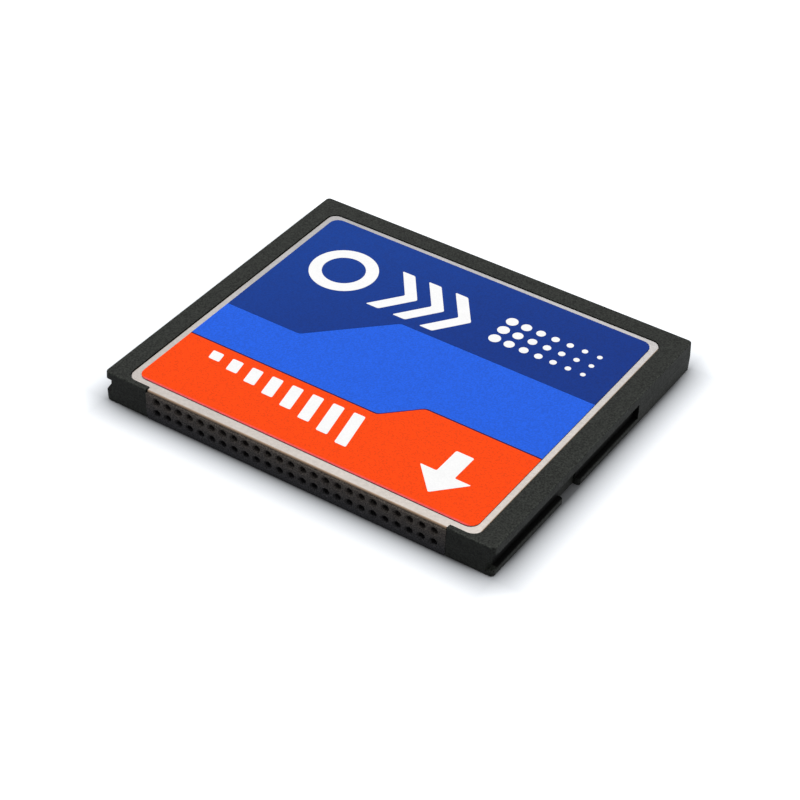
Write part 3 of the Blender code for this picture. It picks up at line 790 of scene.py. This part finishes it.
def rolled_steel(name, metal, under_print=None):
    """Stainless sheet: fine rolling lines, a cloud and faint stains, and ink where the sheet is printed."""
    paint = Paint(name)
    lines = paint.noise(metal.roll_line, stretch=(1.0, 60.0, 1.0))
    cloud = paint.noise(spacing=3.0 * MM)
    stain = paint.noise(spacing=0.32 * MM).climb(*STAIN)
    x, y = paint.axes()[:2]
    # Painted reflection: warmer towards the front right
    warm = (x * metal.warm_reflection_lean - y).climb(COVER_LOW.y, -COVER_LOW.y)
    level = lines.about(0.0, spread=0.06) + cloud.about(0.0, spread=0.26) + stain.about(1.0, spread=0.14)
    colour = paint.shaded(paint.mix(warm, metal.steel_colour[:], metal.steel_warm_reflection[:]), level)
    metallic = 1.0
    if under_print is not None:
        beside = abs(x).past(PRINT_HIGH.x, PRINT_SIDE_BORDER)
        off_lines = abs(y - band_line(x)).least(abs(y - stripe_line(x))).past(0.0, PRINT_LINE_BORDER)
        # Painted shade and reflection along the cover's bent edges
        drawn_side = abs(x).past(COVER_HIGH.x, DRAWN_SIDE_BORDER)
        drawn = drawn_side.most((0.0 - y).past(-COVER_LOW.y, DRAWN_FRONT_BORDER))
        metallic = beside.most(off_lines)
        colour = paint.mix(metallic, under_print, paint.mix(drawn, colour, metal.bend_shade_tint[:]))
    paint.set(
        Base_Color=colour,
        Metallic=metallic,
        Roughness=lines.about(0.0, spread=0.03) + cloud.about(metal.steel_roughness, spread=0.06),
        Normal=paint.bump(lines, distance=0.0004 * MM),
    )
    return paint.material


class Ink(Paint):
    """Dried printing ink with a fine speckle and the faintest orange peel."""

    def __init__(self, name, inks):
        super().__init__(name, Specular_IOR_Level=0.06)
        self.fine = self.noise(inks.speckle, detail=FINE_DETAIL)
        self.set(
            Roughness=self.fine.about(inks.roughness, spread=0.12),
            Normal=self.bump(self.fine, distance=0.002 * MM),
        )

    def tint(self, colour, mottle=0.26):
        """Gives the ink its colour, with darker and lighter specks about it."""
        cloud = self.noise(spacing=1.6 * MM, detail=1.0)
        level = self.fine.climb(*SPECK).about(1.0, mottle) + cloud.about(0.0, spread=0.06)
        self.set(Base_Color=self.shaded(colour, level))
        return self.material


def stepped_line(x, ramp_x, low_y, rise):
    """The y of a line that climbs by a 45 degree ramp, with two soft bends."""
    return (x - ramp_x).least(rise, RAMP_SOFTNESS).most(0.0, RAMP_SOFTNESS) + low_y


def band_line(x):
    """The line between the orange band and the bright stripe."""
    return stepped_line(x, BAND_RAMP_X, BAND_LOW_Y, BAND_RISE)


def stripe_line(x):
    """The line between the bright stripe and the dark ground."""
    return stepped_line(x, STRIPE_RAMP_X, STRIPE_LOW_Y, STRIPE_RISE)


class FLASHCARD_OT_studio(Operator):
    """Set the camera, the floor and the light"""

    bl_idname = "flash_card.studio"
    bl_label = "Studio"

    def execute(self, context):
        studio = context.scene.flash_card_studio
        self.set_camera(context, studio)
        self.lay_floor(studio)
        self.hang_lamp(context, studio)
        self.light_room(context, studio)
        context.scene.view_settings.view_transform = "Standard"
        return {"FINISHED"}

    def set_camera(self, context, studio):
        level = math.cos(studio.elevation)
        back = Vector((
            math.sin(studio.azimuth) * level,
            -math.cos(studio.azimuth) * level,
            math.sin(studio.elevation),
        ))
        camera = bpy.data.objects.new("camera", bpy.data.cameras.new("camera"))
        context.collection.objects.link(camera)
        camera.data.lens = studio.lens
        camera.data.clip_start = CLIP_START
        camera.location = studio.camera_place
        camera.rotation_mode = "QUATERNION"
        level_view = (-back).to_track_quat("-Z", "Y")
        camera.rotation_quaternion = level_view @ Quaternion((0.0, 0.0, 1.0), studio.roll)
        context.scene.camera = camera

    def lay_floor(self, studio):
        """A plane that clears to white away from the card, throws back less light, and is clear from below.

        The card's covers see the room through it, so that the underside shows as if the floor weren't there.
        """
        place = (0.0, 0.0, -FLOOR_GAP)
        floor = begin("floor", bpy.ops.mesh.primitive_plane_add, place, size=studio.floor_side)
        paint = Paint("floor", Roughness=1.0, Specular_IOR_Level=0.0, Emission_Strength=1.0)
        seen = paint.seen_directly(*WHITE_RAYS)
        x, y = [abs(axis) for axis in paint.axes()[:2]]
        card = CAD_BOX[1]
        away = (x - card.x).most(0.0) + (y - card.y).most(0.0)
        corner_border = (-studio.corner_reach, 0.0)
        at_corner = x.past(card.x, corner_border) * y.past(card.y, corner_border)
        # Painted shadow: the floor is darkened where the card meets it, less so at the card's corners
        contact = away.fade(studio.contact_reach) * (1.0 - at_corner * studio.corner_clear)
        white = paint.shaded(studio.floor_white[:], 1.0 - contact * studio.contact_shade)
        clear = away.climb(0.0, studio.floor_clear)
        under = 1.0 - (x - COVER_HIGH.x).most(y - COVER_HIGH.y).past(0.0, UNDER_BORDER)
        room = seen * (1.0 - studio.fill) + studio.fill
        beside = paint.seen_directly("Is Glossy Ray") * (1.0 - clear) * (1.0 - under) * studio.floor_sheen
        glow = seen * (clear + away.climb(*FAR_GLOW)) * studio.floor_glow + beside + room * under
        paint.set(
            Base_Color=paint.mix(seen, studio.floor_bounce[:], white),
            Emission_Color=paint.shaded((1.0, 1.0, 1.0), glow),
        )
        from_below = paint.node("ShaderNodeNewGeometry", output="Backfacing")
        lit = Socket(paint, paint.shader.outputs["BSDF"])
        see_through = paint.node("ShaderNodeBsdfTransparent")
        one_sided = paint.node("ShaderNodeMixShader", inputs={0: from_below, 1: lit, 2: see_through})
        paint.feed(paint.tree.nodes["Material Output"].inputs["Surface"], one_sided)
        floor.data.materials.append(paint.material)

    def hang_lamp(self, context, studio):
        light = bpy.data.lights.new("lamp", "AREA")
        light.shape = "SQUARE"
        light.size = studio.lamp_side
        light.energy = studio.lamp_power
        lamp = bpy.data.objects.new("lamp", light)
        context.collection.objects.link(lamp)
        lamp.location = studio.lamp_place
        lamp.rotation_mode = "QUATERNION"
        lamp.rotation_quaternion = (-Vector(studio.lamp_place)).to_track_quat("-Z", "Y")

    def light_room(self, context, studio):
        world = bpy.data.worlds.new("room")
        world.use_nodes = True
        context.scene.world = world
        graph = Graph(world.node_tree)
        seen = graph.seen_directly(*WHITE_RAYS)
        room = world.node_tree.nodes["Background"]
        graph.feed(room.inputs["Color"], (1.0, 1.0, 1.0))
        graph.feed(room.inputs["Strength"], studio.fill + seen * (1.0 - studio.fill))


class FLASHCARD_OT_plastic(Operator):
    """Finish the moulded frame and the connector's housing"""

    bl_idname = "flash_card.plastic"
    bl_label = "Plastic"

    def execute(self, context):
        plastic = context.scene.flash_card_plastic
        black = Plastic("black_plastic", plastic.grain)
        shade_frame(black, plastic)
        dress(black.moulded(plastic.frame_colour[:], plastic.frame_roughness, plastic.grain_depth), "frame")

        grey = Plastic("grey_plastic", plastic.grain * SOCKET_GRAIN_SIZE)
        # Painted shade low on the socket, painted warm reflection high on it
        upper_part = grey.axes()[2].climb(*SOCKET_SHADE_Z)
        colour = grey.mix(upper_part, plastic.connector_shaded_colour[:], plastic.connector_colour[:])
        depth = plastic.grain_depth * SOCKET_GRAIN_DEPTH
        dress(grey.moulded(colour, plastic.connector_roughness, depth), "connector_housing")
        return {"FINISHED"}


class FLASHCARD_OT_metal(Operator):
    """Finish the steel covers and the gold-plated contacts"""

    bl_idname = "flash_card.metal"
    bl_label = "Steel and gold"

    def execute(self, context):
        metal = context.scene.flash_card_metal
        overprint = context.scene.flash_card_ink.overprint[:]
        dress(rolled_steel("printed_steel", metal, under_print=overprint), "top_cover")
        dress(rolled_steel("bare_steel", metal), "bottom_cover")

        gold = Paint("gold_plating", Metallic=1.0)
        cloud = gold.noise(spacing=0.12 * MM)
        gold.set(
            Base_Color=gold.shaded(metal.gold_colour[:], cloud.about(0.98, spread=0.20)),
            Roughness=cloud.about(metal.gold_roughness, spread=0.16),
            Normal=gold.bump(cloud, distance=0.002 * MM),
        )
        dress(gold.material, *[name for name in NODES if name.startswith("contact_")])
        return {"FINISHED"}


class FLASHCARD_OT_inside(Operator):
    """Finish the circuit board and the chips inside the card"""

    bl_idname = "flash_card.inside"
    bl_label = "Board and chips"

    def execute(self, context):
        inside = context.scene.flash_card_inside
        board = Paint("solder_mask")
        x = board.axes()[0]
        trace = (x * (math.tau / inside.trace_pitch)).wave().climb(*TRACE_EDGE)
        cloud = board.noise(spacing=0.5 * MM)
        green = board.mix(trace, inside.mask_colour[:], inside.trace_colour[:])
        board.set(
            Base_Color=board.shaded(green, cloud.about(0.975, spread=0.25)),
            Roughness=cloud.about(inside.mask_roughness, spread=0.15),
            Normal=board.bump(trace, distance=0.02 * MM),
        )
        dress(board.material, "circuit_board")

        epoxy = Plastic("chip_epoxy", grain=0.06 * MM)
        finished = epoxy.moulded(inside.chip_colour[:], inside.chip_roughness, depth=0.008 * MM)
        dress(finished, "memory_chip", "controller_chip")
        return {"FINISHED"}


class FLASHCARD_OT_inks(Operator):
    """Colour the three print fields, with a dark overprint where two inks meet"""

    bl_idname = "flash_card.inks"
    bl_label = "Print fields"

    def execute(self, context):
        inks = context.scene.flash_card_ink

        # The overprint is full over its width and gone half as far again from the line
        overprint = (inks.overprint_width, inks.overprint_width * 1.5)

        orange = Ink("orange_ink", inks)
        x, y = orange.axes()[:2]
        off_edge = y.past(PRINT_FRONT_Y, (0.0, inks.edge_width))
        colour = orange.mix(off_edge, inks.edge_red[:], inks.orange[:])
        off_line = (band_line(x) - y).climb(*overprint)
        colour = orange.mix(off_line, inks.overprint[:], colour)
        dress(orange.tint(colour), "print_orange_field")

        bright = Ink("bright_blue_ink", inks)
        x, y = bright.axes()[:2]
        off_line = (y - band_line(x)).climb(*overprint)
        colour = bright.mix(off_line, inks.overprint[:], inks.bright_blue[:])
        dress(bright.tint(colour), "print_bright_blue_field")

        ground = Ink("dark_blue_ink", inks)
        x, y = ground.axes()[:2]
        corner = (y - x).climb(GROUND_LIGHT_FROM, PRINT_HIGH.x + PRINT_HIGH.y)
        colour = ground.mix(corner, inks.dark_blue[:], inks.light_ground[:])
        dress(ground.tint(colour), "print_dark_blue_field")
        return {"FINISHED"}


def begin(name, add, place, stretch=(1.0, 1.0, 1.0), turn=0.0, **shape):
    """Adds a primitive with its place, turn and size in its mesh, so that its object stays at the origin."""
    bpy.ops.object.select_all(action="DESELECT")
    add(location=place, rotation=(0.0, 0.0, turn), **shape)
    piece = bpy.context.object
    piece.name = piece.data.name = name
    piece.scale = stretch
    bpy.ops.object.transform_apply(location=True, rotation=True, scale=True)
    return piece


def pick(piece, test):
    """Selects the vertices that pass a test, and the edges and faces between them. Edit mode is on."""
    bpy.ops.mesh.select_mode(type="VERT")
    bpy.ops.mesh.select_all(action="DESELECT")
    mesh = bmesh.from_edit_mesh(piece.data)
    for vertex in mesh.verts:
        vertex.select_set(test(vertex.co))
    mesh.select_flush(True)
    bmesh.update_edit_mesh(piece.data)


def shift(x=0.0, y=0.0, z=0.0):
    bpy.ops.transform.translate(value=(x, y, z))


def round_corners(marks):
    """Takes the inner edges out of a flat outline and rounds its corners. Edit mode is on."""
    bpy.ops.mesh.select_all(action="SELECT")
    bpy.ops.mesh.dissolve_limited(angle_limit=math.radians(1))
    bpy.ops.mesh.select_all(action="SELECT")
    bpy.ops.mesh.bevel(offset=marks.corner, segments=ROUND_STEPS, affect="VERTICES", clamp_overlap=True)


def thicken(marks):
    """Raises a flat outline by the ink's thickness, and leaves edit mode."""
    bpy.ops.mesh.select_all(action="SELECT")
    bpy.ops.mesh.extrude_region_move(TRANSFORM_OT_translate={"value": (0.0, 0.0, marks.ink + MARK_SINK)})
    bpy.ops.mesh.select_all(action="SELECT")
    bpy.ops.mesh.normals_make_consistent(inside=False)
    bpy.ops.object.mode_set(mode="OBJECT")


def copied(piece, x, y=0.0):
    """A copy with its own mesh, moved within it. The copy is left selected alone."""
    bpy.ops.object.select_all(action="DESELECT")
    piece.select_set(True)
    bpy.context.view_layer.objects.active = piece
    bpy.ops.object.duplicate(linked=False)
    shift(x, y)
    bpy.ops.object.transform_apply(location=True)
    return bpy.context.object


def joined(pieces):
    """Joins like pieces into the first of them."""
    bpy.ops.object.select_all(action="DESELECT")
    for piece in pieces:
        piece.select_set(True)
    bpy.context.view_layer.objects.active = pieces[0]
    if len(pieces) > 1:
        bpy.ops.object.join()
    return pieces[0]


def print_mark(piece, context):
    """Gives a finished mark its white ink and fixes it to the card."""
    white = bpy.data.materials.get(WHITE_INK)
    if white is None:
        inks = context.scene.flash_card_ink
        white = Ink(WHITE_INK, inks).tint(inks.white[:], mottle=0.05)
    piece.data.materials.clear()
    piece.data.materials.append(white)
    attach(piece, BODY)


def on_print(place):
    """A place on the print at the level of a mark's underside."""
    return Vector((*place, PRINT_HIGH.z - MARK_SINK))


class FLASHCARD_OT_arrow(Operator):
    """Print the arrow that shows which edge goes in first"""

    bl_idname = "flash_card.arrow"
    bl_label = "Arrow"

    def execute(self, context):
        marks = context.scene.flash_card_marks
        centre = on_print(ARROW_PLACE)
        triangle_width, triangle_height = TRIANGLE_SIZE
        stretch = (marks.arrow_width / triangle_width, marks.arrow_head / triangle_height, 1.0)
        arrow = begin(
            "mark_arrow",
            bpy.ops.mesh.primitive_circle_add,
            centre,
            stretch,
            turn=math.pi,
            vertices=3,
            radius=1.0,
            fill_type="NGON",
        )
        back_y = max(vertex.co.y for vertex in arrow.data.vertices)
        bpy.ops.object.mode_set(mode="EDIT")
        pick(arrow, lambda place: place.y > back_y - marks.corner)
        bpy.ops.mesh.subdivide(number_cuts=2)
        middle_third = marks.arrow_width / 3
        inner = (centre.x - middle_third, centre.x + middle_third)
        pick(arrow, lambda place: place.y > back_y - marks.corner and inner[0] < place.x < inner[1])
        narrowing = marks.arrow_stem / middle_third
        bpy.ops.transform.resize(value=(narrowing, 1.0, 1.0), center_override=(centre.x, back_y, centre.z))
        bpy.ops.mesh.extrude_region_move(TRANSFORM_OT_translate={"value": (0.0, marks.arrow_tail, 0.0)})
        round_corners(marks)
        thicken(marks)
        print_mark(arrow, context)
        return {"FINISHED"}


class FLASHCARD_OT_bars(Operator):
    """Print the row of rising bars on the orange band"""

    bl_idname = "flash_card.bars"
    bl_label = "Bars"

    def execute(self, context):
        marks = context.scene.flash_card_marks
        start = on_print(BARS_PLACE)
        stretch = (marks.bar_width, marks.bar_least, 1.0)
        bar = begin("mark_bars", bpy.ops.mesh.primitive_plane_add, start, stretch, size=1.0)
        middle_y = start.y
        bars = [bar]
        bpy.ops.object.mode_set(mode="EDIT")
        pick(bar, lambda place: place.y < middle_y)
        shift(x=marks.bar_lean * marks.bar_least)
        bpy.ops.object.mode_set(mode="OBJECT")
        for number in range(1, marks.bar_count):
            bar = copied(bars[-1], marks.bar_pitch)
            bpy.ops.object.mode_set(mode="EDIT")
            pick(bar, lambda place: place.y < middle_y)
            shift(x=marks.bar_lean * marks.bar_rise, y=-marks.bar_rise)
            bpy.ops.object.mode_set(mode="OBJECT")
            bars.append(bar)
        piece = joined(bars)
        bpy.ops.object.mode_set(mode="EDIT")
        round_corners(marks)
        thicken(marks)
        print_mark(piece, context)
        return {"FINISHED"}


class FLASHCARD_OT_ring(Operator):
    """Print the ring on the dark ground"""

    bl_idname = "flash_card.ring"
    bl_label = "Ring"

    def execute(self, context):
        marks = context.scene.flash_card_marks
        ring = begin(
            "mark_ring",
            bpy.ops.mesh.primitive_circle_add,
            on_print(RING_PLACE),
            vertices=RING_SIDES,
            radius=marks.ring_radius,
            fill_type="NGON",
        )
        bpy.ops.object.mode_set(mode="EDIT")
        bpy.ops.mesh.select_mode(type="FACE")
        bpy.ops.mesh.select_all(action="SELECT")
        bpy.ops.mesh.inset(thickness=marks.ring_stroke)
        bpy.ops.mesh.delete(type="FACE")
        thicken(marks)
        print_mark(ring, context)
        return {"FINISHED"}


class FLASHCARD_OT_chevrons(Operator):
    """Print the row of chevrons beside the ring"""

    bl_idname = "flash_card.chevrons"
    bl_label = "Chevrons"

    def execute(self, context):
        marks = context.scene.flash_card_marks
        start = on_print(CHEVRONS_PLACE)
        chevron = begin(
            "mark_chevrons",
            bpy.ops.mesh.primitive_grid_add,
            start,
            (marks.chevron_stroke, marks.chevron_height, 1.0),
            x_subdivisions=1,
            y_subdivisions=2,
            size=1.0,
        )
        bpy.ops.object.mode_set(mode="EDIT")
        pick(chevron, lambda place: abs(place.y - start.y) < marks.corner)
        shift(x=marks.chevron_point)
        round_corners(marks)
        thicken(marks)
        steps = range(1, marks.chevron_count)
        piece = joined([chevron] + [copied(chevron, step * marks.chevron_pitch) for step in steps])
        print_mark(piece, context)
        return {"FINISHED"}


class FLASHCARD_OT_dots(Operator):
    """Print the fading field of dots on the dark ground"""

    bl_idname = "flash_card.dots"
    bl_label = "Dots"

    def execute(self, context):
        marks = context.scene.flash_card_marks
        start = on_print(DOTS_PLACE)
        dot = begin(
            "mark_dots",
            bpy.ops.mesh.primitive_circle_add,
            start,
            vertices=DOT_SIDES,
            radius=marks.dot_radius,
            fill_type="NGON",
        )
        bpy.ops.object.mode_set(mode="EDIT")
        thicken(marks)
        dots = [dot]
        for column in range(marks.dot_columns):
            for row in range(marks.dot_rows):
                if column or row:
                    x, y = column * marks.dot_pitch, row * marks.dot_pitch
                    dots.append(copied(dot, x, y))
                    shrink = marks.dot_fade ** column
                    bpy.ops.transform.resize(
                        value=(shrink, shrink, 1.0), center_override=(start.x + x, start.y + y, start.z)
                    )
                    bpy.ops.object.transform_apply(location=True, scale=True)
        print_mark(joined(dots), context)
        return {"FINISHED"}


STEPS = (
    (FLASHCARD_OT_studio, "flash_card_studio"),
    (FLASHCARD_OT_plastic, "flash_card_plastic"),
    (FLASHCARD_OT_metal, "flash_card_metal"),
    (FLASHCARD_OT_inside, "flash_card_inside"),
    (FLASHCARD_OT_inks, "flash_card_ink"),
    (FLASHCARD_OT_arrow, "flash_card_marks"),
    (FLASHCARD_OT_bars, None),
    (FLASHCARD_OT_ring, None),
    (FLASHCARD_OT_chevrons, None),
    (FLASHCARD_OT_dots, None),
)
GROUPS = {
    "flash_card_studio": FlashCardStudio,
    "flash_card_plastic": FlashCardPlastic,
    "flash_card_metal": FlashCardMetal,
    "flash_card_inside": FlashCardInside,
    "flash_card_ink": FlashCardInk,
    "flash_card_marks": FlashCardMarks,
}


class FLASHCARD_PT_looks(Panel):
    """Sidebar panel with every step and its settings"""

    bl_label = "Flash Card"
    bl_space_type = "VIEW_3D"
    bl_region_type = "UI"
    bl_category = "Flash Card"

    def draw(self, context):
        for step, group in STEPS:
            box = self.layout.box()
            box.operator(step.bl_idname)
            if group:
                for name in GROUPS[group].__annotations__:
                    box.prop(getattr(context.scene, group), name)


CLASSES = (*GROUPS.values(), *[step for step, group in STEPS], FLASHCARD_PT_looks)


def register():
    for each in CLASSES:
        bpy.utils.register_class(each)
    for name, group in GROUPS.items():
        setattr(bpy.types.Scene, name, PointerProperty(type=group))


def unregister():
    for name in GROUPS:
        delattr(bpy.types.Scene, name)
    for each in reversed(CLASSES):
        bpy.utils.unregister_class(each)


def main():
    register()
    bpy.ops.flash_card.studio()
    bpy.ops.flash_card.plastic()
    bpy.ops.flash_card.metal()
    bpy.ops.flash_card.inside()
    bpy.ops.flash_card.inks()
    bpy.ops.flash_card.arrow()
    bpy.ops.flash_card.bars()
    bpy.ops.flash_card.ring()
    bpy.ops.flash_card.chevrons()
    bpy.ops.flash_card.dots()


if __name__ == "__main__":
    main()
